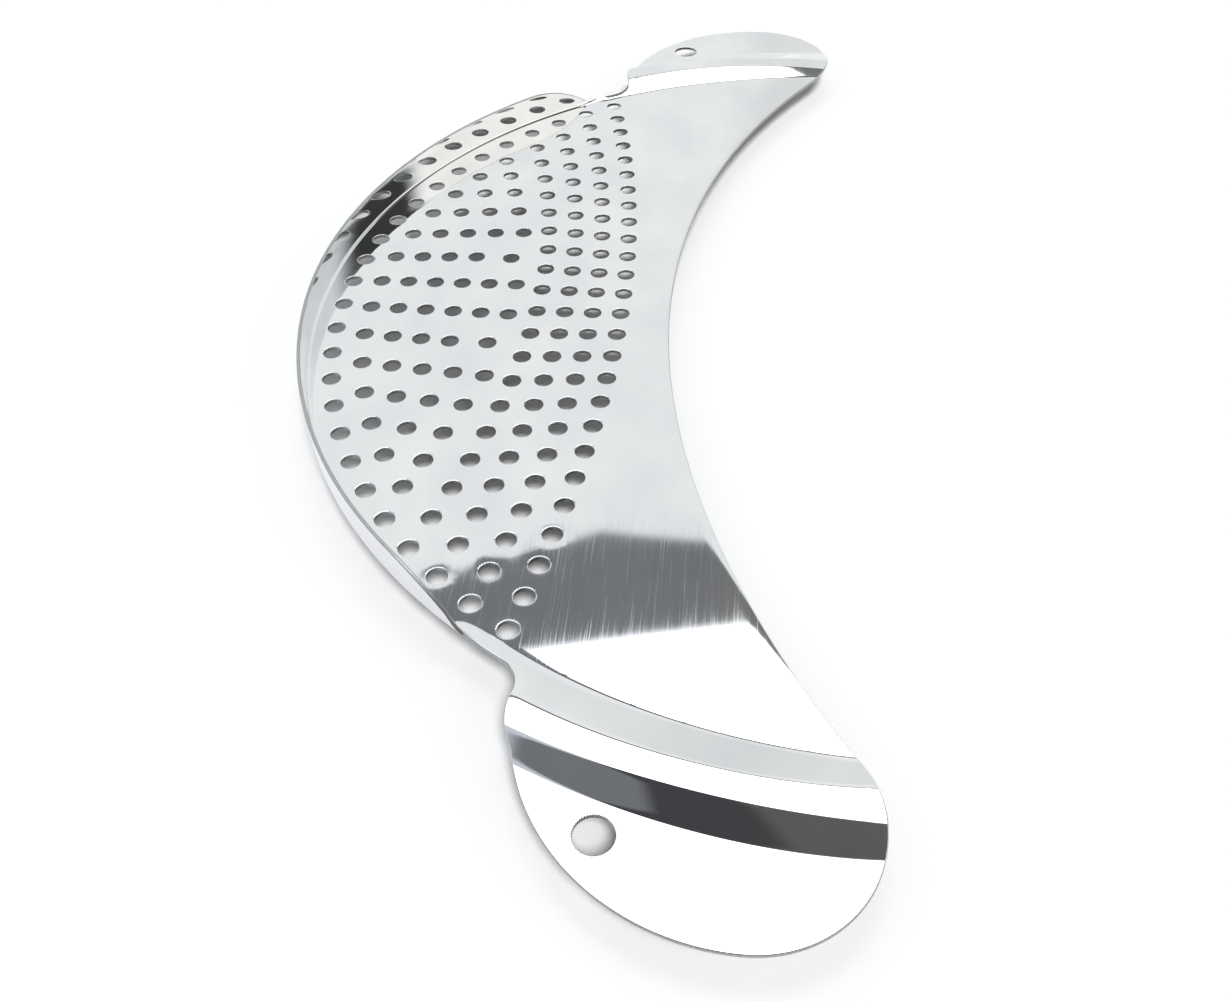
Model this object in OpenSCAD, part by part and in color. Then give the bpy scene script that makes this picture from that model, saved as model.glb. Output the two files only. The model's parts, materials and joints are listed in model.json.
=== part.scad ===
// Crescent pot strainer: one stamped stainless steel sheet that is held against the mouth
// of a pot while the liquid is poured off. The plan is laid out about the axis of the pot,
// and the finished plate is then moved so that the origin is at the middle of its underside.

/* [Sheet] */
// Thickness of the steel sheet
sheet_t = 0.8; // [0.5:0.1:1.2]

/* [Outline] */
// Radius of the outer rim, from the axis of the pot
rim_r = 126.2; // [124.6:0.2:129]
// Distance from the axis of the pot to the middle of the hollow inner edge
inner_edge_y = 41.4; // [36:0.1:46]
// Radius of the hollow inner edge
inner_edge_r = 220; // [205:1:235]
// Distance from the middle of the strainer to the tip of an ear
ear_tip_x = 157.4; // [153:0.2:162]
// Height in plan of the ear tips above the axis of the pot
ear_tip_y = 21.5; // [18:0.5:25]
// Radius of the long outer curve of an ear
ear_outer_r = 39.5; // [37:0.5:42]
// Radius of the shoulder where an ear leaves the waist
shoulder_r = 13.2; // [12:0.2:14]
// Distance of the shoulder's centre from the middle of the strainer
shoulder_x = 119.5; // [118:0.5:121]
// Distance of the shoulder's top from the axis line of the pot
shoulder_top_y = 62; // [61.5:0.1:62.5]
// Radius of the hollow curve between the rim and the shoulder
waist_r = 7; // [5:0.5:9]

/* [Rim wall] */
// Height of the wall above the upper face of the plate
wall_h = 7.5; // [4:0.1:10]
// Angle from the middle of the strainer to each end of the wall
wall_half_angle = 55; // [45:1:56]
// Radius of the long curve that brings the wall down at each end
wall_end_r = 32; // [14:1:40]
// Inside radius of the bend between the plate and the wall
wall_bend_r = 0.6; // [0.4:0.1:1.5]

/* [Locating bead] */
// Radius of the inner foot of the raised bead across each ear
bead_foot_r = 123.3; // [122:0.1:124]
// Width of the slope that climbs towards the ear
bead_climb_w = 7.7; // [5:0.1:8]
// Width of the flat crest
bead_crest_w = 5; // [3:0.1:6]
// Width of the slope that drops to the ear
bead_drop_w = 6; // [4:0.1:7]
// Height of the crest above the plate
bead_h = 2.2; // [0.8:0.1:2.4]

/* [Hang holes] */
// Diameter of the hang hole in each ear
hang_d = 6.9; // [5:0.1:8]
// Distance of a hang hole from the middle of the strainer
hang_x = 140.4; // [137:0.1:144]
// Distance of a hang hole from the axis line of the pot
hang_y = 44.9; // [40:0.1:46]

/* [Drain holes] */
// Diameter of a drain hole
drain_d = 4.1; // [3:0.1:4.4]
// Radius of the ring of holes along the wall
ring_r = 120; // [119:0.1:121]
// Number of holes in the ring
ring_n = 26; // [18:2:26]
// Angle between neighbouring holes of the ring
ring_step = 4.6; // [4.4:0.05:4.6]
// Number of bowed lines of holes beside the inner edge
line_n = 4; // [2:1:4]
// Distance from the axis of the pot to the middle of the innermost line
line_y = 53; // [50:0.5:55]
// Distance between the lines at the middle
line_pitch = 6.65; // [6:0.05:6.8]
// Number of rows between the ring and the lines
row_n = 6; // [3:1:6]
// Radius of the outermost row
row_r = 113.1; // [112:0.1:114]
// Distance between rows
row_pitch = 6.65; // [6:0.05:6.8]
// Spacing of the holes along the outermost row
row_step = 10.9; // [10.5:0.1:11.2]
// How much wider the spacing becomes from one row to the next
row_spread = 0.3; // [0.2:0.05:0.4]
// How far the second pair of the last full row sits nearer the lines
row_slip = 2; // [0:0.1:2.5]

/* [Hidden] */
$fn = 144;

steel = [0.80, 0.81, 0.82];
through = 1;                 // how far a cutter passes the sheet on each side
profile_start_r = 35;        // radius inside which no part of the plate lies
profile_end_r = 170;         // radius outside which no part of the plate lies
plate_top = sheet_t;
wall_top = sheet_t + wall_h;
half_pairs = row_n + 1;      // pairs of holes in the outermost row

// The inner edge and the short curve of the ear are tangent, which sets the ear's radius.
inner_edge_cy = inner_edge_y - inner_edge_r;
ear_rise = ear_tip_y - inner_edge_cy;
ear_inner_r = (ear_tip_x^2 + ear_rise^2 - inner_edge_r^2) / (2 * (inner_edge_r + ear_tip_x));
ear_inner_c = [ear_tip_x - ear_inner_r, ear_tip_y];
ear_outer_c = [ear_tip_x - ear_outer_r, ear_tip_y];
edge_share = inner_edge_r / (inner_edge_r + ear_inner_r);
edge_join = [ear_inner_c.x * edge_share, inner_edge_cy + ear_rise * edge_share];

// The waist curve touches the rim and the shoulder from outside.
shoulder_c = [shoulder_x, shoulder_top_y - shoulder_r];
shoulder_dist = norm(shoulder_c);
shoulder_dir = shoulder_c / shoulder_dist;
waist_along = ((rim_r + waist_r)^2 - (shoulder_r + waist_r)^2 + shoulder_dist^2) / (2 * shoulder_dist);
waist_off = sqrt((rim_r + waist_r)^2 - waist_along^2);
waist_c = shoulder_dir * waist_along + [-shoulder_dir.y, shoulder_dir.x] * waist_off;

// The curve at each end of the wall starts from the plate at the wall's very end. Its crest
// lies a little above the wall, so it meets the top of the wall at a slight angle.
wall_end_crest = wall_top + 0.15;
wall_end_run = sqrt(wall_end_r^2 - (wall_end_r - wall_end_crest + plate_top)^2);

origin_y = (rim_r + ear_tip_y - ear_inner_r) / 2;

// Outline of the sheet in plan, about the axis of the pot
module half_plane_above(y) {
    translate([-2 * ear_tip_x, y]) square([4 * ear_tip_x, 2 * rim_r]);
}

module both_sides() {
    children();
    mirror([1, 0]) children();
}

module ear_outline() {
    intersection() {
        translate(ear_outer_c) circle(r = ear_outer_r);
        half_plane_above(ear_tip_y);
    }
    translate(ear_inner_c) circle(r = ear_inner_r);
    translate(shoulder_c) circle(r = shoulder_r);
}

module waist_outline() {
    difference() {
        polygon([[0, 0], shoulder_c, waist_c]);
        translate(waist_c) circle(r = waist_r);
    }
}

module outline() {
    difference() {
        union() {
            intersection() {
                circle(r = rim_r);
                half_plane_above(ear_tip_y);
            }
            polygon([ear_inner_c, edge_join, [-edge_join.x, edge_join.y], [-ear_inner_c.x, ear_inner_c.y]]);
            both_sides() {
                ear_outline();
                waist_outline();
            }
        }
        translate([0, inner_edge_cy]) circle(r = inner_edge_r);
    }
}

// Plan of the part of the sheet that carries the wall
module wall_sector() {
    reach = 2 * rim_r;
    polygon([[0, 0], reach * [sin(wall_half_angle), cos(wall_half_angle)], [0, 2 * reach],
             reach * [-sin(wall_half_angle), cos(wall_half_angle)]]);
}

// Section of the sheet through the wall, as radius and height
module wall_profile() {
    bend_c = [rim_r - sheet_t - wall_bend_r, sheet_t + wall_bend_r];
    difference() {
        union() {
            translate([profile_start_r, 0]) square([bend_c.x - profile_start_r, wall_top]);
            translate([profile_start_r, bend_c.y]) square([rim_r - profile_start_r, wall_top - bend_c.y]);
            translate(bend_c) circle(r = wall_bend_r + sheet_t);
        }
        translate([0, sheet_t]) square([bend_c.x, wall_top]);
        translate([0, bend_c.y]) square([rim_r - sheet_t, wall_top]);
        translate(bend_c) circle(r = wall_bend_r);
    }
}

// Section of the sheet through the bead and the ear, as radius and height
module bead_profile() {
    crest_r = bead_foot_r + bead_climb_w;
    drop_r = crest_r + bead_crest_w;
    ear_r = drop_r + bead_drop_w;
    polygon([[profile_start_r, 0], [bead_foot_r, 0], [crest_r, bead_h], [drop_r, bead_h],
             [ear_r, 0], [profile_end_r, 0], [profile_end_r, sheet_t], [ear_r, sheet_t],
             [drop_r, bead_h + sheet_t], [crest_r, bead_h + sheet_t], [bead_foot_r, sheet_t],
             [profile_start_r, sheet_t]]);
}

// What is cut from the top corner at one end of the wall
module wall_end_cut() {
    inward = 8 * sheet_t;
    depth = inward + through;
    rotate([0, 0, 90 - wall_half_angle]) translate([rim_r - inward, 0, 0]) difference() {
        translate([0, -through, plate_top]) cube([depth, wall_end_run + through, wall_top]);
        translate([-through, wall_end_run, wall_end_crest - wall_end_r]) rotate([0, 90, 0])
            cylinder(r = wall_end_r, h = depth + 2 * through);
    }
}

module wall_part() {
    difference() {
        intersection() {
            rotate_extrude() wall_profile();
            linear_extrude(wall_top + through) intersection() {
                outline();
                wall_sector();
            }
        }
        wall_end_cut();
        mirror([1, 0, 0]) wall_end_cut();
    }
}

module ear_part() {
    intersection() {
        rotate_extrude() bead_profile();
        linear_extrude(bead_h + sheet_t + through) difference() {
            outline();
            wall_sector();
        }
    }
}

// One hole through the sheet
module hole(x, y, d) {
    translate([x, y, -through]) cylinder(d = d, h = sheet_t + 2 * through);
}

module hole_pair(x, y, d) {
    hole(x, y, d);
    hole(-x, y, d);
}

// Ring of holes along the wall
module ring_holes() {
    for (i = [0 : ring_n / 2 - 1]) {
        a = ring_step * (i + 0.5);
        hole_pair(ring_r * sin(a), ring_r * cos(a), drain_d);
    }
}

// Bowed lines: line k is the arc through its middle point and two holes of the ring
module line_holes() {
    for (k = [0 : line_n - 1]) {
        end_a = ring_step * ((ring_n - 1) / 2 - k);
        end_x = ring_r * sin(end_a);
        mid_y = line_y + k * line_pitch;
        sag = ring_r * cos(end_a) - mid_y;
        arc_r = (end_x^2 + sag^2) / (2 * sag);
        line_holes_n = ring_n - 2 * k;
        step = 2 * asin(end_x / arc_r) / (line_holes_n - 1);
        for (i = [0 : line_holes_n / 2 - 2]) {
            a = step * (i + 0.5);
            hole_pair(arc_r * sin(a), mid_y + arc_r * (1 - cos(a)), drain_d);
        }
    }
}

// Rows that fill the space between the ring and the lines
module row_holes() {
    for (k = [0 : row_n - 1]) {
        r = row_r - k * row_pitch;
        step = (row_step + k * row_spread) / r * 180 / PI;
        pairs = k < row_n - 1 ? half_pairs - k : 1;
        for (i = [0 : pairs - 1]) {
            a = step * (i + 0.5);
            slip = k == row_n - 2 && i == 1 ? row_slip : 0;
            hole_pair((r - slip) * sin(a), (r - slip) * cos(a), drain_d);
        }
    }
}

module strainer_plate() {
    color(steel) translate([0, -origin_y, 0]) difference() {
        union() {
            wall_part();
            ear_part();
        }
        ring_holes();
        line_holes();
        row_holes();
        hole_pair(hang_x, hang_y, hang_d);
    }
}

strainer_plate();
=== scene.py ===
"""Looks of the crescent pot strainer: one stamped and polished stainless steel sheet.

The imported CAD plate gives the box, the sheet's thickness and the hang holes. The piece built
here replaces it: the same sheet with softly rounded edges, a pressed bead that runs into the
bend of the wall, dimples round the punched holes and a brushed finish.
Lengths are in millimetres until the mesh is made, and the plan is laid out about the pot's axis.
"""

import json
import math

import bpy
import numpy as np
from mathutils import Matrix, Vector
from mathutils.geometry import delaunay_2d_cdt
from mathutils.kdtree import KDTree


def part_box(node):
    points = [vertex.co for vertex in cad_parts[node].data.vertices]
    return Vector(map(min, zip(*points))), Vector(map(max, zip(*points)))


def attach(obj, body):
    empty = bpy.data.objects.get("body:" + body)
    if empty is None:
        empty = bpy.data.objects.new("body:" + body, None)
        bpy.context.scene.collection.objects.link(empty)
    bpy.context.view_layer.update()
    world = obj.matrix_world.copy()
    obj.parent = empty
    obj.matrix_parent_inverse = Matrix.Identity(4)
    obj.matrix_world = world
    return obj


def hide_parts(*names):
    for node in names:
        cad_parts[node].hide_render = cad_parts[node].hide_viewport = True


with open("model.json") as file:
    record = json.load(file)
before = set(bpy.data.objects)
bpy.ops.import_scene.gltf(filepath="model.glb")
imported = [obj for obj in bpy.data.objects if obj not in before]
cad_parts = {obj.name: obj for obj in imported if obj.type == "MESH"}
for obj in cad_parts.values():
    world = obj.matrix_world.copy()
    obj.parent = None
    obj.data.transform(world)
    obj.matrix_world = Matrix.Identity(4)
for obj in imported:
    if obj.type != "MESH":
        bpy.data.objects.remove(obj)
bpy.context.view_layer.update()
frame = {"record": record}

MM = 0.001
NODE = "strainer_plate"
low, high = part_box(NODE)
low, high = np.array(low) / MM, np.array(high) / MM
mounts = {m["name"]: m for m in frame["record"]["mounts"]}
hang = mounts["hang_hole_right"]

# ---------------------------------------------------------------- driving dimensions, mm
SHEET = hang["dims"]["length_mm"]    # thickness of the sheet
RIM_R = 126.2                        # outer radius of the wall
AXIS_Y = high[1] - RIM_R             # where the pot's axis lies in the row frame
TIP_X, TIP_Y = high[0], 21.5         # tip of an ear
INNER_EDGE_Y = 41.4                  # middle of the hollow inner edge
INNER_EDGE_R = 220.0
EAR_OUTER_R = 39.5                   # arc of an ear from its tip to the shoulder
SHOULDER_R = 13.2                    # round corner between the ear and the waist
SHOULDER = np.array([119.5, 48.8])   # its centre
WAIST_R = 7.0                        # notch between the shoulder and the rim
WALL_TOP = high[2]
WALL_END_AZ = 55.0                   # azimuth where the wall ends, from +Y
WALL_END_R = 32.0                    # curve in which the wall's top comes down
BEND_R = 1.0                         # bend of the wall, at the middle of the sheet
WALL_TO_BEAD = (53.0, 58.0)          # azimuths over which the wall runs into the bead
WALL_TO_WAIST = (WALL_END_AZ - 1.2, WALL_END_AZ + 1.4)    # and its edge into the waist

# bead across each end
BEAD_FOOT = 123.4                    # radius where it starts to climb
CREST_IN, CREST_IN_LOSS = 131.7, 2.6     # crest's first edge, and how far it moves in
CREST_OUT, CREST_OUT_LOSS = 137.8, 3.2   # crest's second edge
FOOT_OUT, FOOT_OUT_LOSS = 142.5, 0.9     # outer foot
CLOSE_UP = (60, 90)                  # azimuths over which the three move in
BEAD_H = 2.2
BEAD_FADE = 0.55                     # share of the bead's height lost by its inner end
FADE_AZ = (72, 96)                   # azimuths over which it is lost
CLIMB_EASE = 0.06                    # share of the climb's slope lost by its top
FOOT_BEND, CREST_BEND = 2.6, 1.8     # widths over which the bead's edges bend

# holes
DRAIN_R = 2.05
HANG_R = hang["dims"]["r_mm"]
RING_R, RING_N, RING_STEP = 120.0, 26, 4.6    # ring inside the wall: radius, holes, degrees apart
LINE_N = 4                           # bowed lines, each between two holes of the ring
LINE_Y, LINE_PITCH = 53.0, 6.65      # middle of the first line, and distance between lines
ROW_N, ROW_R, ROW_PITCH = 6, 113.1, 6.65      # rows inside the ring: number, first radius, pitch
ROW_STEP, ROW_SPREAD = 10.9, 0.3     # hole spacing of the first row, and how much each row adds
SLIPPED, ROW_SLIP = (4, 1), 2.0      # one pair: its row, its place, how far nearer the axis

# small shapes that the CAD leaves out
EDGE_ROUND = 0.24                    # rounding of the sheet's edge all round
HOLE_ROUND = 0.10                    # rounding of a hole's edge
CUT_TURN = 0.45                      # sine of the turn at which the sheared edge takes over, with its colour darkened partly as painted shade
EDGE_SAG, EDGE_SAG_W = 0.06, 2.2     # how far and over what width the sheet rolls off at its edge
SAG_FADE = (116, 123)                # the roll-off ends where the beads start
DIMPLE, DIMPLE_W = 0.010, 0.9        # how far the punch pulls the sheet down, and over what width
# slight unevenness of the sheet: height, radians per mm along x and y, and phase of each wave
WAVES = ((0.012, 0.060, 0.031, 0.6), (0.010, 0.043, -0.071, 2.1), (0.004, 0.137, 0.110, 4.0))

# ---------------------------------------------------------------- spacing of the mesh, mm
FINE_AZ, COARSE_AZ, FINE_FROM = 0.16, 0.45, 40    # outline along the wall, in degrees of azimuth
CURVE_STEP, EAR_STEP, EDGE_STEP = 0.4, 0.45, 1.0  # small curves, an ear's arc, the inner edge
EDGE_START = 0.12                    # radians of the inner edge that keep the small step
EDGE_RINGS = (0.05, 0.13, EDGE_ROUND, 0.36, 0.62, 1.0, 1.6, 2.3)    # depths inside the outline
RING_SLACK = 0.02                    # points of such a ring this much too near the outline go
HOLE_RINGS = (0.04, HOLE_ROUND, 0.45)             # widths round a drain hole
HANG_RINGS = (*HOLE_RINGS, 0.9)                   # and round a hang hole
DRAIN_SIDES, HANG_SIDES = 24, 48
SPOKE_AZ, SPOKE_END = 0.62, 113      # spokes of points across wall and bead: step and end, degrees
SPOKES_R = (123, 149)                # radii between which they take the place of the grid
BEND_ROWS = (123.2, 126.7, 0.2)      # first, last and pitch of the rows across the wall's bend
WALL_ROWS = (127.0, 134, 0.9)        # up the wall
BEAD_ROWS = (125, 150, 0.9)          # over the bead
FOLD_REACH, FOLD_STEP = (0.9, 1.0, 1.0, 1.2), 0.25    # about each of the bead's four bends
ROWS_APART = 0.14                    # rows closer than this are left out
GRID, GRID_X, GRID_Y = 2.0, (-160, 160), (-6, 130)    # grid over the rest: pitch and extent
GRID_ROW = 0.866                     # its rows' distance, as a share of the pitch
CLEAR_EDGE, CLEAR_HOLE = 2.7, 0.8    # how far the fill stays from outline and holes
ON_EDGE = 2e-3                       # a point this near to an edge lies on it
NO_AREA = 1e-9                       # triangles under this area are dropped
SAME_POINT = 1e-5                    # points this near to each other are one

# ---------------------------------------------------------------- looks of the steel
# A noise pattern has a stretch along X, Y and Z per metre, a scale on top of it, and a detail.
# The grain runs along X.
BRUSHING = ((25, 2600, 260), 1.0, 2)
SCRATCHES = ((30, 3200, 320), 2.2, 1)
CLOUDS = ((40, 60, 60), 1.0, 3)
MID_SPAN = (0.3, 0.7)                # middle of a pattern, over which looks change
SCRATCH_SPAN = (0.6, 0.85)           # top of a pattern, where the scratches are
BRUSHED_ROUGH = (0.028, 0.05)        # roughness over the brushing's middle
SCRATCHED_ROUGH = (0.0, 0.09)        # roughness that the scratches add
STEEL = ((0.76, 0.77, 0.78, 1), (0.85, 0.855, 0.86, 1))
# sheared edge: darker than the polished steel, partly its dull real finish and partly painted shade in
# the hole walls and along the outline
CUT_STEEL_AND_SHADE = ((0.30, 0.305, 0.31, 1), (0.48, 0.485, 0.49, 1))
BUMP, BUMP_DEPTH = 0.006, 0.00002    # strength, and depth of the brushing in metres
CUT_ROUGH, CUT_GRAIN = 0.38, 3500    # roughness of the sheared edge, and its grain per metre

# ---------------------------------------------------------------- room and light
FLOOR_GAP = 6.2                      # paper below the sheet, mm
FLOOR_HALF = 6.0                     # half the paper's side, in metres
PAPER = (0.505, 0.508, 0.514, 1)

KEY = 4.8                            # sun lamp, W per square metre
KEY_SIZE = 18                        # its disc, degrees across
KEY_EL = 57                          # its height above the paper, degrees
KEY_TURN = 20                        # where it stands, degrees round from -X towards -Y

# strengths of the room's light, by part of the room
ROOM = 0.97                          # pale walls
WARM = 1.3                           # warm side towards -Y
SHADE = 0.05                         # dark corner between them
DULL = 0.86                          # far wall on the -Y side
PANEL = 3.0                          # bright panel overhead, towards +X
GAP = 0.20                           # dark gap beyond the panel
OLIVE, BLUE = 0.12, 0.065            # ceiling on the -Y side and in the middle
CEILING, FAR_CEILING = 0.20, 0.7     # ceiling towards +Y, and farther that way
LIGHT_TINT = (0.98, 0.995, 1.0, 1)
WARM_TINT = (1.0, 0.985, 0.93, 1)
COOL_TINT = (0.95, 0.98, 1.06, 1)    # dark ceiling from the middle towards +Y

# Bounds in the sides: x / -y tells how far round from -Y towards +X, z / level how steep.
WARM_END = (0.38, 0.5)               # the warm side ends
CORNER_START = (0.42, 0.58)          # the dark corner starts
CORNER_END = (1.1, 2.4)              # and fades into the room
CORNER_CLIMB, CORNER_SOFT = (0.47, 0.80), 0.04
# Bounds overhead: a direction meets the plane one unit above the plate at u along X, v along Y.
DULL_U, DULL_SOFT, DULL_V = (1.35, 2.6), 0.1, (-0.12, 0.02)
CEILING_START = (-1.3, -1.1)         # in u
CEILING_END, CEILING_SOFT = 0.955, 0.008
CEILING_CUT, CEILING_CUT_V = 0.5, 0.12    # from this v on, the end comes in at this slope
CEILING_V, CEILING_V_SOFT = (-1.0, 1.0), 0.02
OLIVE_TO_BLUE = (-0.07, -0.02)       # in v
BLUE_TO_CEILING = (0.17, 0.22)       # in v
WEDGE, WEDGE_SLANT = (0.33, 0.40), 0.9    # the farther ceiling starts, in v + slant * u
GAP_START = (0.45, 0.55)             # in u, behind the panel
PANEL_START = (0.22, 0.28)           # in u
PANEL_END, PANEL_SLANT = (0.805, 0.825), 0.23    # in u + slant * v
PANEL_V, PANEL_V_SOFT = (-0.30, 0.36), 0.015
COOL_START = (-0.04, 0.01)           # in v
FLAT = 0.001                         # least divisor, for directions near the horizon

# ---------------------------------------------------------------- camera, as in the photo
SENSOR, LENS = 36, 34.489            # mm
EYE = (-232.201, 30.445, 164.059)    # from the pot's axis and the plate's upper face, mm
EYE_TURN = (45.3833, 0.9223, -84.5921)    # degrees


def unit(v):
    return v / np.linalg.norm(v)


def smoothstep(a, b, x):
    t = np.clip((x - a) / (b - a), 0, 1)
    return t * t * (3 - 2 * t)


def on_circle(centre, radius, angle):
    """Points at these angles, in radians from +X."""
    return np.stack([centre[0] + radius * np.cos(angle), centre[1] + radius * np.sin(angle)], -1)


# ---------------------------------------------------------------- section of the sheet
# The sheet is laid out flat, as radius rho along the sheet and azimuth from +Y. At each azimuth
# the slope of the section over rho gives the radius and height of the sheet's middle surface.
# Inside the first rho the sheet is level.
RHO = np.arange(112.0, 176.0, 0.05)
AZ_STEP = 0.25
AZ = np.arange(0.0, 116.0, AZ_STEP)


def bead_lines(az):
    """Radii of the crest's two edges and the outer foot, which close up towards the inner edge."""
    t = np.clip((az - CLOSE_UP[0]) / (CLOSE_UP[1] - CLOSE_UP[0]), 0, 1)
    return CREST_IN - CREST_IN_LOSS * t ** 2, CREST_OUT - CREST_OUT_LOSS * t, FOOT_OUT - FOOT_OUT_LOSS * t


def climb_part(rho, a, b):
    """Share of the climb's slope at rho: full after the foot a, eased off towards the crest b."""
    t = np.clip((rho - a) / (b - a), 0, 1)
    ease = 1 - CLIMB_EASE * t
    return smoothstep(a - FOOT_BEND / 2, a + FOOT_BEND / 2, rho) * ease * (
        1 - smoothstep(b - CREST_BEND / 2, b + CREST_BEND / 2, rho))


def drop_part(rho, a, b):
    """Share of the drop's slope at rho, from the crest a down to the outer foot b."""
    return smoothstep(a - CREST_BEND / 2, a + CREST_BEND / 2, rho) * (
        1 - smoothstep(b - FOOT_BEND / 2, b + FOOT_BEND / 2, rho))


def section_slope(rho, az):
    """Slope of the section in radians: the wall's bend in the middle, the bead at the ends."""
    crest_in, crest_out, foot_out = bead_lines(az)
    tall = BEAD_H * (1 - BEAD_FADE * smoothstep(*FADE_AZ, az))
    climb = tall / ((crest_in - BEAD_FOOT) * (1 - CLIMB_EASE / 2))
    drop = tall / (foot_out - crest_out)
    bead = climb * climb_part(rho, BEAD_FOOT, crest_in) - drop * drop_part(rho, crest_out, foot_out)
    start = RIM_R - SHEET / 2 - BEND_R
    wall = math.pi / 2 * np.clip((rho - start) / (BEND_R * math.pi / 2), 0, 1)
    share = smoothstep(*WALL_TO_BEAD, az)
    return (1 - share) * wall + share * np.arctan(bead)


slope_grid = section_slope(RHO[None, :], AZ[:, None])
step = RHO[1] - RHO[0]
middle = (slope_grid[:, 1:] + slope_grid[:, :-1]) / 2
R_GRID = RHO[0] + np.concatenate([np.zeros((len(AZ), 1)), np.cumsum(np.cos(middle) * step, 1)], 1)
Z_GRID = SHEET / 2 + np.concatenate([np.zeros((len(AZ), 1)), np.cumsum(np.sin(middle) * step, 1)], 1)


def look_up(grid, rho, az):
    """Bilinear value of a grid over azimuth and rho."""
    i = np.clip(az / AZ_STEP, 0, len(AZ) - 1.001)
    j = np.clip((rho - RHO[0]) / step, 0, len(RHO) - 1.001)
    i0, j0 = i.astype(int), j.astype(int)
    u, v = i - i0, j - j0
    return ((1 - u) * (1 - v) * grid[i0, j0] + u * (1 - v) * grid[i0 + 1, j0]
            + (1 - u) * v * grid[i0, j0 + 1] + u * v * grid[i0 + 1, j0 + 1])


def laid_out(plan):
    """Plan points of the ears to flat-sheet points."""
    r = np.hypot(plan[:, 0], plan[:, 1])
    az = np.degrees(np.arctan2(np.abs(plan[:, 0]), plan[:, 1]))
    rho = r.copy()
    for n in np.nonzero(r > RHO[0])[0]:
        row = min(int(round(az[n] / AZ_STEP)), len(AZ) - 1)
        rho[n] = np.interp(r[n], R_GRID[row], RHO)
    return plan * (rho / r)[:, None]


# ---------------------------------------------------------------- outline of the blank
def arc(centre, radius, a, b, spacing):
    """Points along an arc from angle a to b in radians, without the last one."""
    n = max(2, int(abs(b - a) * radius / spacing))
    return on_circle(centre, radius, np.linspace(a, b, n, endpoint=False))


def angle_of(p, centre):
    """Direction of p from the centre, in radians from +X."""
    return math.atan2(p[1] - centre[1], p[0] - centre[0])


def wall_edge_rho(az):
    """Where the blank ends at the wall's top, in rho."""
    run = math.sqrt(WALL_END_R ** 2 - (WALL_END_R - (WALL_TOP - SHEET)) ** 2)
    along = np.clip(np.radians(WALL_END_AZ - az) * RIM_R, 0, run)
    top = WALL_TOP - WALL_END_R + np.sqrt(WALL_END_R ** 2 - (run - along) ** 2)
    bend_start = RIM_R - SHEET / 2 - BEND_R
    straight = top - SHEET / 2 - BEND_R
    bent = np.arccos(np.clip(1 - (top - SHEET / 2) / BEND_R, 0, 1)) * BEND_R
    return bend_start + np.where(straight > 0, BEND_R * math.pi / 2 + straight, bent)


def half_outline():
    """Right half of the blank's outline from the wall to the inner edge, and the edge's middle."""
    cy = INNER_EDGE_Y - INNER_EDGE_R
    rise = TIP_Y - cy
    ear_r = (TIP_X ** 2 + rise ** 2 - INNER_EDGE_R ** 2) / (2 * (INNER_EDGE_R + TIP_X))
    ear_in = np.array([TIP_X - ear_r, TIP_Y])
    ear_out = np.array([TIP_X - EAR_OUTER_R, TIP_Y])
    edge_c = np.array([0.0, cy])

    dist = np.linalg.norm(SHOULDER)
    ahead = unit(SHOULDER)
    along = ((RIM_R + WAIST_R) ** 2 - (SHOULDER_R + WAIST_R) ** 2 + dist ** 2) / (2 * dist)
    aside = math.sqrt((RIM_R + WAIST_R) ** 2 - along ** 2)
    waist = ahead * along + np.array([-ahead[1], ahead[0]]) * aside

    gap = np.linalg.norm(SHOULDER - ear_out)
    toward = unit(SHOULDER - ear_out)
    a = (EAR_OUTER_R ** 2 - SHOULDER_R ** 2 + gap ** 2) / (2 * gap)
    h = math.sqrt(EAR_OUTER_R ** 2 - a ** 2)
    corner = ear_out + toward * a + np.array([toward[1], -toward[0]]) * h

    waist_az = math.degrees(math.atan2(waist[0], waist[1]))
    az = [np.arange(0, FINE_FROM, COARSE_AZ), np.arange(FINE_FROM, waist_az, FINE_AZ)]
    az = np.concatenate(az)
    plan_rho = np.array([np.interp(RIM_R, R_GRID[int(round(x / AZ_STEP))], RHO) for x in az])
    share = smoothstep(*WALL_TO_WAIST, az)
    rho = (1 - share) * wall_edge_rho(az) + share * plan_rho
    blank = [np.stack([rho * np.sin(np.radians(az)), rho * np.cos(np.radians(az))], -1)]

    join = waist + unit(SHOULDER - waist) * WAIST_R
    start = angle_of([0, 0], waist)
    end = angle_of(join, waist)
    end = end + 2 * math.pi if end < start else end
    plan = [arc(waist, WAIST_R, start, end, CURVE_STEP)]
    turned = angle_of(join, SHOULDER), angle_of(corner, SHOULDER)
    plan.append(arc(SHOULDER, SHOULDER_R, *turned, CURVE_STEP))
    plan.append(arc(ear_out, EAR_OUTER_R, angle_of(corner, ear_out), 0, EAR_STEP))
    touch = angle_of(ear_in, edge_c)
    plan.append(arc(ear_in, ear_r, 0, touch - math.pi, CURVE_STEP))
    plan.append(arc(edge_c, INNER_EDGE_R, touch, touch + EDGE_START, CURVE_STEP))
    plan.append(arc(edge_c, INNER_EDGE_R, touch + EDGE_START, math.pi / 2, EDGE_STEP))
    blank.append(laid_out(np.concatenate(plan)))
    return np.concatenate(blank), np.array([0.0, INNER_EDGE_Y])


def outline_loop():
    """The blank's outline, clockwise."""
    right, middle_point = half_outline()
    left = right[1:][::-1] * [-1, 1]
    return np.concatenate([right, middle_point[None, :], left])


# ---------------------------------------------------------------- holes
def polar(r, az):
    """Point at this radius and azimuth from +Y."""
    return [r * math.sin(math.radians(az)), r * math.cos(math.radians(az))]


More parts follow.
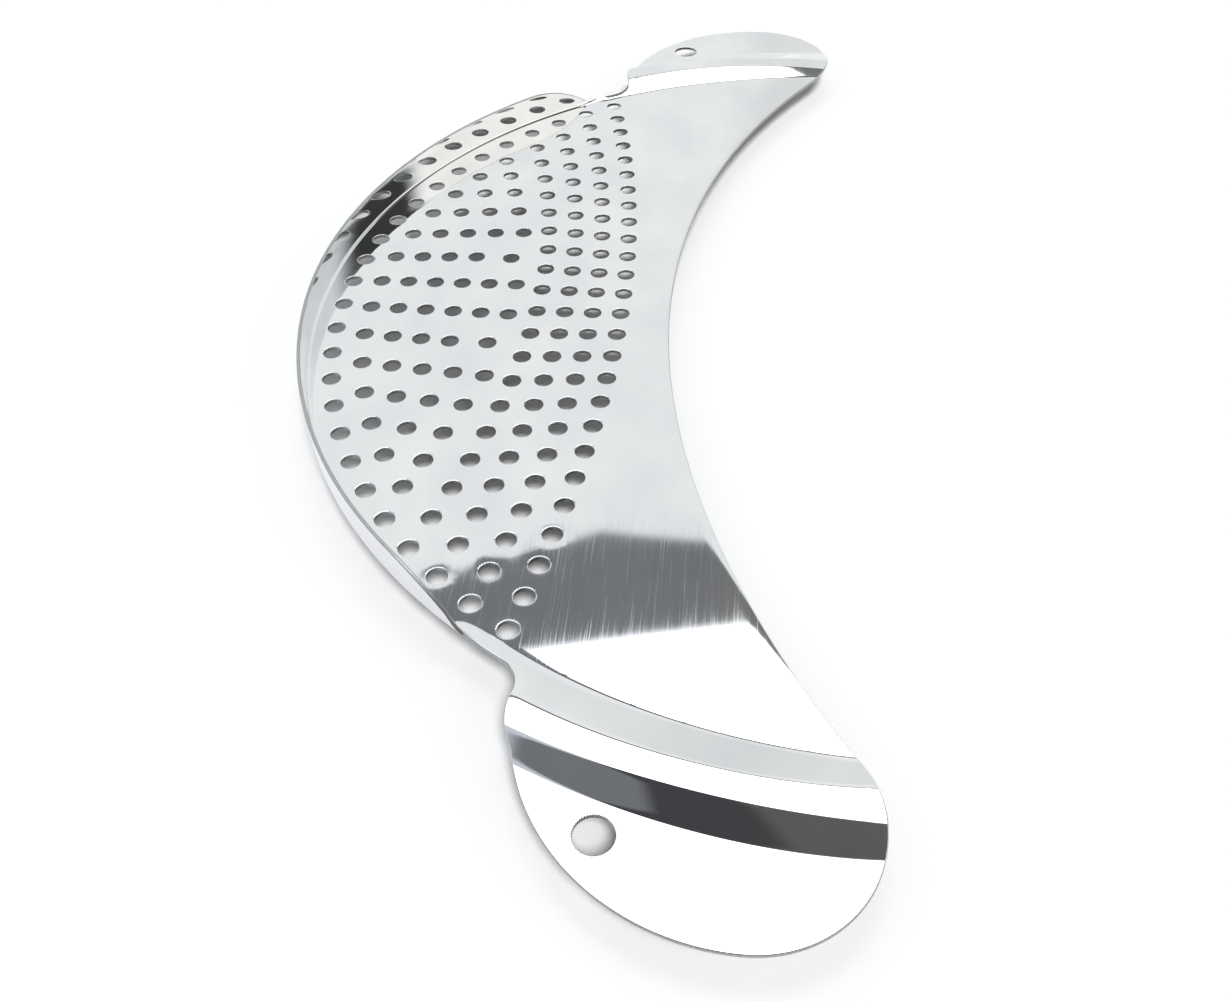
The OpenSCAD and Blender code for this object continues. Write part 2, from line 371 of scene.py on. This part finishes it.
def drain_holes():
    """Centres: the ring, the lines between its holes, and the rows inside it."""
    holes = [polar(RING_R, RING_STEP * (i + 0.5)) for i in range(RING_N // 2)]
    for k in range(LINE_N):
        end = polar(RING_R, RING_STEP * ((RING_N - 1) / 2 - k))
        mid = LINE_Y + k * LINE_PITCH
        sag = end[1] - mid
        arc_r = (end[0] ** 2 + sag ** 2) / (2 * sag)
        count = RING_N - 2 * k
        turn = 2 * math.asin(end[0] / arc_r) / (count - 1)
        for i in range(count // 2 - 1):
            a = turn * (i + 0.5)
            holes.append([arc_r * math.sin(a), mid + arc_r * (1 - math.cos(a))])
    for k in range(ROW_N):
        r = ROW_R - k * ROW_PITCH
        turn = math.degrees((ROW_STEP + k * ROW_SPREAD) / r)
        pairs = ROW_N + 1 - k if k < ROW_N - 1 else 1
        for i in range(pairs):
            slip = ROW_SLIP if (k, i) == SLIPPED else 0
            holes.append(polar(r - slip, turn * (i + 0.5)))
    return np.array(holes + [[-x, y] for x, y in holes])


def hang_holes():
    """Centres on the flat sheet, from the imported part's own mount."""
    right = np.array([[hang["pos_m"][0] / MM, hang["pos_m"][1] / MM - AXIS_Y]])
    return laid_out(np.concatenate([right, right * [-1, 1]]))


outline = outline_loop()
drains = drain_holes()
hangs = hang_holes()
HOLES = [(c, DRAIN_R) for c in drains] + [(c, HANG_R) for c in hangs]
hole_centres = np.array([c for c, r in HOLES])
hole_radii = np.array([r for c, r in HOLES])


# ---------------------------------------------------------------- distances
outline_ahead = np.roll(outline, -1, 0) - np.roll(outline, 1, 0)
outline_ahead /= np.linalg.norm(outline_ahead, axis=1)[:, None]
outline_out = np.stack([-outline_ahead[:, 1], outline_ahead[:, 0]], -1)
outline_tree = KDTree(len(outline))
for n, p in enumerate(outline):
    outline_tree.insert((p[0], p[1], 0), n)
outline_tree.balance()


def to_outline(points):
    """Depth of each point inside the outline, and the unit direction from it out to the outline."""
    near = np.array([outline_tree.find((x, y, 0))[1] for x, y in points])
    best, way = np.full(len(points), 1e9), outline_out[near].copy()
    for side in (-1, 0):
        a = outline[(near + side) % len(outline)]
        ab = outline[(near + side + 1) % len(outline)] - a
        t = np.clip(((points - a) * ab).sum(1) / (ab ** 2).sum(1), 0, 1)
        gap = a + t[:, None] * ab - points
        dist = np.linalg.norm(gap, axis=1)
        better = dist < best
        best = np.where(better, dist, best)
        clear = better & (dist > 0.01)
        way[clear] = gap[clear] / dist[clear, None]
    inside = (way * outline_out[near]).sum(1) >= 0
    way = np.where(inside[:, None], way, -way)
    return np.where(inside, best, -best), way


def to_holes(points):
    """Distance of each point to the nearest hole's edge, and the unit direction to it."""
    away = points[:, None, :] - hole_centres[None]
    r = np.sqrt((away ** 2).sum(2))
    k = (r - hole_radii[None]).argmin(1)
    rows = np.arange(len(points))
    return r[rows, k] - hole_radii[k], -away[rows, k] / r[rows, k][:, None]


# ---------------------------------------------------------------- points of the mesh
def sides(r):
    """How many points go round a hole."""
    return DRAIN_SIDES if r == DRAIN_R else HANG_SIDES


def spoke_rows(off):
    """Radii of the points on a spoke at this azimuth off +Y, close together where it bends."""
    rows = []
    if off < WALL_TO_BEAD[1]:
        rows += list(np.arange(*BEND_ROWS)) + list(np.arange(*WALL_ROWS))
    if off > WALL_TO_BEAD[0] - 1:
        for line, reach in zip((BEAD_FOOT, *bead_lines(off)), FOLD_REACH):
            rows += list(np.arange(line - reach, line + reach, FOLD_STEP))
        rows += list(np.arange(*BEAD_ROWS))
    rows = sorted(rows)
    kept = [rows[0]]
    for row in rows[1:]:
        if row - kept[-1] > ROWS_APART:
            kept.append(row)
    return kept


def fill_points():
    """Points between the edges: spokes across wall and bead, and a grid over the rest."""
    fill = []
    for az in np.arange(-SPOKE_END, SPOKE_END, SPOKE_AZ):
        fill += [polar(r, az) for r in spoke_rows(abs(az))]
    for j, y in enumerate(np.arange(*GRID_Y, GRID * GRID_ROW)):
        for x in np.arange(*GRID_X, GRID) + (j % 2) * GRID / 2:
            r = math.hypot(x, y)
            if r < SPOKES_R[0] or r > SPOKES_R[1]:
                fill.append([x, y])
    fill = np.array(fill)
    fill = fill[to_outline(fill)[0] > CLEAR_EDGE]
    return fill[to_holes(fill)[0] > CLEAR_HOLE]


def mesh_points():
    """Flat-sheet points, and the edges along the outline and the holes that the mesh keeps."""
    chunks, count = [outline], len(outline)
    edges = [(i, (i + 1) % count) for i in range(count)]
    for c, r in HOLES:
        n = sides(r)
        chunks.append(on_circle(c, r, np.arange(n) * 2 * math.pi / n))
        edges += [(count + i, count + (i + 1) % n) for i in range(n)]
        count += n
    for depth in EDGE_RINGS:
        ring = outline - depth * outline_out
        chunks.append(ring[to_outline(ring)[0] > depth - RING_SLACK])
    for c, r in HOLES:
        n = sides(r)
        for k, width in enumerate(HOLE_RINGS if r == DRAIN_R else HANG_RINGS):
            turn = (np.arange(n) + 0.5 * (k % 2)) * 2 * math.pi / n
            chunks.append(on_circle(c, r + width, turn))
    return np.concatenate(chunks + [fill_points()]), edges


def bend_of_sheet(points, depth, way):
    """Slight height of the whole sheet and its gradient: edge roll-off, dimples and unevenness."""
    left = np.clip(1 - depth / EDGE_SAG_W, 0, 1)
    sag = EDGE_SAG * (1 - smoothstep(*SAG_FADE, np.abs(points[:, 0])))
    z = -sag * left ** 2.5
    slope = (-sag * 2.5 / EDGE_SAG_W * left ** 1.5)[:, None] * way

    away = points[:, None, :] - hole_centres[None]
    r = np.linalg.norm(away, axis=2)
    gap = np.clip(r - hole_radii[None], 0, None)
    pull = DIMPLE * np.exp(-(gap / DIMPLE_W) ** 2)
    z -= pull.sum(1)
    slope += ((pull * 2 * gap / DIMPLE_W ** 2 / r)[:, :, None] * away).sum(1)

    x, y = points[:, 0], points[:, 1]
    for height, kx, ky, phase in WAVES:
        z += height * np.sin(kx * x + ky * y + phase)
        slope += (height * np.cos(kx * x + ky * y + phase))[:, None] * [kx, ky]
    return z, slope


def rounding(depth, radius):
    """Half thickness at this depth from an edge, and the sine of the surface's turn outwards."""
    t = np.clip(1 - depth / radius, 0, 1)
    half = SHEET / 2 - radius * (1 - np.sqrt(1 - t ** 2))
    return half, t


def sheet_surface(points):
    """Middle surface, its normal and the radial direction along the sheet, at flat-sheet points."""
    rho = np.hypot(points[:, 0], points[:, 1])
    az = np.degrees(np.arctan2(np.abs(points[:, 0]), points[:, 1]))
    outer = rho > RHO[0]
    r = np.where(outer, look_up(R_GRID, rho, az), rho)
    z = np.where(outer, look_up(Z_GRID, rho, az), SHEET / 2)
    slope = np.where(outer, look_up(slope_grid, rho, az), 0)
    out = points / rho[:, None]
    at = np.stack([out[:, 0] * r, out[:, 1] * r, z], -1)
    radial = np.stack([out[:, 0] * np.cos(slope), out[:, 1] * np.cos(slope), np.sin(slope)], -1)

    # where the bead runs into the wall, radius and height also change along the azimuth
    nudge = 0.3
    span = 2 * np.radians(nudge) * rho

    def change(grid):
        rise = (look_up(grid, rho, az + nudge) - look_up(grid, rho, np.abs(az - nudge))) / span
        return np.where(outer, rise, 0) * -np.sign(points[:, 0])

    dr, dz = change(R_GRID), change(Z_GRID)
    turn = r / rho
    along = np.stack([-out[:, 1] * turn + out[:, 0] * dr, out[:, 0] * turn + out[:, 1] * dr, dz], -1)
    normal = np.cross(radial, along)
    normal /= np.linalg.norm(normal, axis=1)[:, None]
    return at, normal, radial


def in_space(vectors, points, radial):
    """Flat-sheet directions as directions in space, along the bent sheet."""
    rho = np.hypot(points[:, 0], points[:, 1])
    out = points / rho[:, None]
    along_r = (vectors * out).sum(1)
    along_t = (vectors * np.stack([out[:, 1], -out[:, 0]], -1)).sum(1)
    sideways = np.stack([out[:, 1], -out[:, 0], out[:, 0] * 0], -1)
    return radial * along_r[:, None] + sideways * along_t[:, None]


def triangulated():
    """Flat-sheet points and the triangles between them, all turned the same way."""
    points, edges = mesh_points()
    points = [Vector(p) for p in points]
    flat, _, triangles, *_ = delaunay_2d_cdt(points, edges, [], 0, SAME_POINT)
    flat = np.array([[p.x, p.y] for p in flat])
    triangles = np.array([t for t in triangles if len(t) == 3])
    centre = flat[triangles].mean(1)
    keep = (to_outline(centre)[0] > 0) & (to_holes(centre)[0] > 0)
    triangles = triangles[keep]
    a, b, c = (flat[triangles[:, i]] for i in range(3))
    area = (b[:, 0] - a[:, 0]) * (c[:, 1] - a[:, 1]) - (b[:, 1] - a[:, 1]) * (c[:, 0] - a[:, 0])
    triangles = np.where((area < 0)[:, None], triangles[:, ::-1], triangles)
    triangles = triangles[np.abs(area) > NO_AREA]
    used = np.unique(triangles)
    renumber = np.full(len(flat), -1)
    renumber[used] = np.arange(len(used))
    return flat[used], renumber[triangles]


def open_edges(triangles):
    """Edges that only one triangle has, along the outline and the holes, in a fixed order."""
    directed = {(t[i], t[(i + 1) % 3]): None for t in triangles for i in range(3)}
    return [e for e in directed if (e[1], e[0]) not in directed]


def build_sheet():
    """The sheet as one closed mesh: upper and under side, and the cut edge between them."""
    flat, triangles = triangulated()
    edge_d, edge_way = to_outline(flat)
    hole_d, hole_way = to_holes(flat)
    near_hole = hole_d < edge_d
    depth = np.minimum(edge_d, hole_d)
    depth = np.where(depth < ON_EDGE, 0, depth)
    way = np.where(near_hole[:, None], hole_way, edge_way)
    half, turn = rounding(depth, np.where(near_hole, HOLE_ROUND, EDGE_ROUND))

    at, normal, radial = sheet_surface(flat)
    outward = in_space(way, flat, radial)
    z, slope = bend_of_sheet(flat, edge_d, edge_way)
    tilt = in_space(slope, flat, radial)
    lean = normal - tilt
    lean /= np.linalg.norm(lean, axis=1)[:, None]
    cos = np.sqrt(1 - turn ** 2)[:, None]
    top = at + normal * (z + half)[:, None]
    under = at + normal * (z - half)[:, None]
    top_normal = lean * cos + outward * turn[:, None]
    under_normal = -lean * cos + outward * turn[:, None]

    n = len(flat)
    faces = [tuple(t) for t in triangles] + [tuple(t[::-1] + n) for t in triangles]
    # faces of the sheared edge, which get the dull darker steel; that darkness is partly painted shade in
    # the hole walls and along the outline
    cut = list(turn[triangles].mean(1) > CUT_TURN) * 2
    rim = open_edges(triangles)
    faces += [(b, a, a + n, b + n) for a, b in rim]
    cut += [True] * len(rim)

    co = np.concatenate([top, under])
    normals = np.concatenate([top_normal, under_normal])
    normals /= np.linalg.norm(normals, axis=1)[:, None]
    co[:, 1] += AXIS_Y
    co = (co - co.min(0)) / (co.max(0) - co.min(0)) * (high - low) + low
    mesh = bpy.data.meshes.new("sheet")
    mesh.from_pydata([tuple(p) for p in co * MM], [], faces)
    mesh.polygons.foreach_set("use_smooth", [True] * len(mesh.polygons))
    mesh.polygons.foreach_set("material_index", [int(c) for c in cut])
    mesh.normals_split_custom_set_from_vertices([tuple(v) for v in normals])
    mesh.update()
    return mesh


# ---------------------------------------------------------------- material
class Shader:
    """Short ways to add nodes to the node tree of a material or the world."""

    def __init__(self, owner):
        owner.use_nodes = True
        self.nodes, self.links = owner.node_tree.nodes, owner.node_tree.links

    def put(self, value, socket):
        """Link an output to the socket, or set a constant on it."""
        if isinstance(value, bpy.types.NodeSocket):
            self.links.new(value, socket)
        else:
            socket.default_value = value

    def calc(self, kind, a, b=0.0, c=0.0):
        node = self.nodes.new("ShaderNodeMath")
        node.operation = kind
        for value, socket in zip((a, b, c), node.inputs):
            self.put(value, socket)
        return node.outputs[0]

    def times(self, a, b):
        return self.calc("MULTIPLY", a, b)

    def rest(self, share):
        """What the share leaves of 1."""
        return self.calc("SUBTRACT", 1, share)

    def remap(self, value, span, to=(0.0, 1.0), kind="LINEAR"):
        node = self.nodes.new("ShaderNodeMapRange")
        node.interpolation_type = kind
        limits = dict(zip(("From Min", "From Max", "To Min", "To Max"), (*span, *to)))
        for name, limit in limits.items():
            node.inputs[name].default_value = limit
        self.put(value, node.inputs["Value"])
        return node.outputs["Result"]

    def soft(self, value, span):
        """0 below the span and 1 above it."""
        return self.remap(value, span, kind="SMOOTHSTEP")

    def within(self, value, span, soft_by):
        """1 inside the span and 0 outside it, with soft bounds."""
        start, end = ((x - soft_by, x + soft_by) for x in span)
        return self.times(self.soft(value, start), self.rest(self.soft(value, end)))

    def mix(self, a, b, share):
        """Number a, or b where the share is 1."""
        return self.calc("ADD", self.times(a, self.rest(share)), self.times(b, share))

    def tinted(self, a, b, share):
        """Colour a, or b where the share is 1."""
        node = self.nodes.new("ShaderNodeMix")
        node.data_type = "RGBA"
        for value, name in ((a, "A"), (b, "B"), (share, "Factor")):
            self.put(value, node.inputs[name])
        return node.outputs["Result"]

    def ramp(self, value, colours):
        """From one colour to the other over the middle of the pattern."""
        node = self.nodes.new("ShaderNodeValToRGB")
        for element, position, colour in zip(node.color_ramp.elements, MID_SPAN, colours):
            element.position = position
            element.color = colour
        self.put(value, node.inputs["Fac"])
        return node.outputs["Color"]

    def streaks(self, stretch, scale, detail):
        """Noise with a stretch of its own along each axis, fixed to the object."""
        place = self.nodes.new("ShaderNodeTexCoord")
        mapping = self.nodes.new("ShaderNodeMapping")
        mapping.inputs["Scale"].default_value = stretch
        self.links.new(place.outputs["Object"], mapping.inputs["Vector"])
        noise = self.nodes.new("ShaderNodeTexNoise")
        noise.inputs["Scale"].default_value = scale
        noise.inputs["Detail"].default_value = detail
        self.links.new(mapping.outputs["Vector"], noise.inputs["Vector"])
        return noise.outputs["Fac"]


def steel():
    """Polished steel with a fine brushing and a few scratches along X."""
    mat = bpy.data.materials.new("polished_steel")
    shader = Shader(mat)
    bsdf = shader.nodes["Principled BSDF"]
    bsdf.inputs["Metallic"].default_value = 1.0

    brushing = shader.streaks(*BRUSHING)
    cloud = shader.streaks(*CLOUDS)
    scratch = shader.streaks(*SCRATCHES)
    brushed = shader.remap(brushing, MID_SPAN, BRUSHED_ROUGH)
    scratched = shader.remap(scratch, SCRATCH_SPAN, SCRATCHED_ROUGH)
    shader.put(shader.calc("ADD", brushed, scratched), bsdf.inputs["Roughness"])
    shader.put(shader.ramp(cloud, STEEL), bsdf.inputs["Base Color"])

    bump = shader.nodes.new("ShaderNodeBump")
    bump.inputs["Strength"].default_value = BUMP
    bump.inputs["Distance"].default_value = BUMP_DEPTH
    shader.put(brushing, bump.inputs["Height"])
    shader.put(bump.outputs["Normal"], bsdf.inputs["Normal"])
    return mat


def cut_steel_and_shade():
    """The sheared edge of the sheet: the same steel, dull, and darker partly as painted shade in the hole
    walls and along the outline.
    """
    mat = bpy.data.materials.new("cut_steel_and_shade")
    shader = Shader(mat)
    bsdf = shader.nodes["Principled BSDF"]
    bsdf.inputs["Metallic"].default_value = 1.0
    bsdf.inputs["Roughness"].default_value = CUT_ROUGH
    place = shader.nodes.new("ShaderNodeTexCoord")
    noise = shader.nodes.new("ShaderNodeTexNoise")
    noise.inputs["Scale"].default_value = CUT_GRAIN
    shader.put(place.outputs["Object"], noise.inputs["Vector"])
    shader.put(shader.ramp(noise.outputs["Fac"], CUT_STEEL_AND_SHADE), bsdf.inputs["Base Color"])
    return mat


# ---------------------------------------------------------------- room
def add_floor():
    """Plain pale paper, a little below the sheet."""
    mesh = bpy.data.meshes.new("floor")
    z = (low[2] - FLOOR_GAP) * MM
    corners = ((-1, -1), (1, -1), (1, 1), (-1, 1))
    mesh.from_pydata([(x * FLOOR_HALF, y * FLOOR_HALF, z) for x, y in corners], [], [(0, 1, 2, 3)])
    floor = bpy.data.objects.new("floor", mesh)
    bpy.context.scene.collection.objects.link(floor)
    mat = bpy.data.materials.new("floor_paper")
    bsdf = Shader(mat).nodes["Principled BSDF"]
    bsdf.inputs["Base Color"].default_value = PAPER
    bsdf.inputs["Roughness"].default_value = 1.0
    bsdf.inputs["Specular IOR Level"].default_value = 0.0
    mesh.materials.append(mat)


def side_light(shader, x, y, z):
    """Light of the walls, and the share of the warm side."""
    to_side = shader.calc("LESS_THAN", y, 0)
    depth = shader.calc("MAXIMUM", shader.calc("ABSOLUTE", y), FLAT)
    aside = shader.calc("DIVIDE", x, depth)
    level = shader.calc("SQRT", shader.calc("ADD", shader.times(x, x), shader.times(y, y)))
    climb = shader.calc("DIVIDE", z, shader.calc("MAXIMUM", level, FLAT))
    corner_end = shader.rest(shader.soft(aside, CORNER_END))
    corner = shader.times(shader.soft(aside, CORNER_START), corner_end)
    corner = shader.times(corner, shader.within(climb, CORNER_CLIMB, CORNER_SOFT))
    light = shader.mix(ROOM, SHADE, shader.times(to_side, corner))
    warm = shader.times(to_side, shader.rest(shader.soft(aside, WARM_END)))
    return shader.mix(light, WARM, warm), warm


def ceiling_light(shader, u, v):
    """Light of the dark ceiling and the gap beyond the panel, and the share of the two."""
    cut = shader.calc("MAXIMUM", shader.calc("SUBTRACT", v, CEILING_CUT_V), 0)
    end = shader.calc("SUBTRACT", CEILING_END, shader.times(CEILING_CUT, cut))
    past_end = shader.soft(shader.calc("SUBTRACT", u, end), (-CEILING_SOFT, CEILING_SOFT))
    share = shader.times(shader.rest(past_end), shader.soft(u, CEILING_START))
    share = shader.times(share, shader.within(v, CEILING_V, CEILING_V_SOFT))
    light = shader.mix(OLIVE, BLUE, shader.soft(v, OLIVE_TO_BLUE))
    light = shader.mix(light, CEILING, shader.soft(v, BLUE_TO_CEILING))
    slanted = shader.calc("MULTIPLY_ADD", u, WEDGE_SLANT, v)
    light = shader.mix(light, FAR_CEILING, shader.soft(slanted, WEDGE))
    return shader.mix(light, GAP, shader.soft(u, GAP_START)), share


def panel_share(shader, u, v):
    """1 on the bright panel and 0 elsewhere."""
    slanted = shader.calc("MULTIPLY_ADD", v, PANEL_SLANT, u)
    share = shader.times(shader.soft(u, PANEL_START), shader.rest(shader.soft(slanted, PANEL_END)))
    return shader.times(share, shader.within(v, PANEL_V, PANEL_V_SOFT))


def add_world():
    """Pale room with a warm side, a dark corner, and a dark ceiling with one bright panel."""
    world = bpy.data.worlds.new("studio")
    bpy.context.scene.world = world
    shader = Shader(world)
    place = shader.nodes.new("ShaderNodeTexCoord")
    split = shader.nodes.new("ShaderNodeSeparateXYZ")
    shader.put(place.outputs["Generated"], split.inputs[0])
    x, y, z = split.outputs
    up = shader.calc("MAXIMUM", z, FLAT)
    u = shader.calc("DIVIDE", x, up)
    v = shader.calc("DIVIDE", y, up)

    light, warm = side_light(shader, x, y, z)
    dull_v = shader.rest(shader.soft(v, DULL_V))
    light = shader.mix(light, DULL, shader.times(shader.within(u, DULL_U, DULL_SOFT), dull_v))
    overhead, ceiling = ceiling_light(shader, u, v)
    light = shader.mix(light, overhead, ceiling)
    panel = panel_share(shader, u, v)
    light = shader.mix(light, PANEL, panel)

    dark = shader.times(ceiling, shader.rest(panel))
    tint = shader.tinted(LIGHT_TINT, WARM_TINT, warm)
    tint = shader.tinted(tint, COOL_TINT, shader.times(dark, shader.soft(v, COOL_START)))
    background = shader.nodes["Background"]
    shader.put(tint, background.inputs["Color"])
    shader.put(light, background.inputs["Strength"])


def add_key():
    """Soft lamp from the near side, for the shadows on the paper. The steel doesn't mirror it."""
    key = bpy.data.lights.new("key", "SUN")
    key.energy = KEY
    key.angle = math.radians(KEY_SIZE)
    obj = bpy.data.objects.new("key", key)
    obj.rotation_euler = (0, -math.radians(90 - KEY_EL), math.radians(KEY_TURN))
    obj.visible_glossy = False
    bpy.context.scene.collection.objects.link(obj)


def add_camera():
    """The camera, at the near end and a little above the plate."""
    cam = bpy.data.cameras.new("camera")
    cam.sensor_width = SENSOR
    cam.lens = LENS
    obj = bpy.data.objects.new("camera", cam)
    obj.location = [v * MM for v in (EYE[0], EYE[1] + AXIS_Y, EYE[2] + SHEET)]
    obj.rotation_euler = [math.radians(a) for a in EYE_TURN]
    bpy.context.scene.collection.objects.link(obj)
    bpy.context.scene.camera = obj


sheet = bpy.data.objects.new("strainer_sheet", build_sheet())
bpy.context.scene.collection.objects.link(sheet)
sheet.data.materials.append(steel())
sheet.data.materials.append(cut_steel_and_shade())
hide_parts(NODE)
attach(sheet, "root")
add_floor()
add_world()
add_key()
add_camera()
bpy.context.scene.view_settings.view_transform = "Standard"
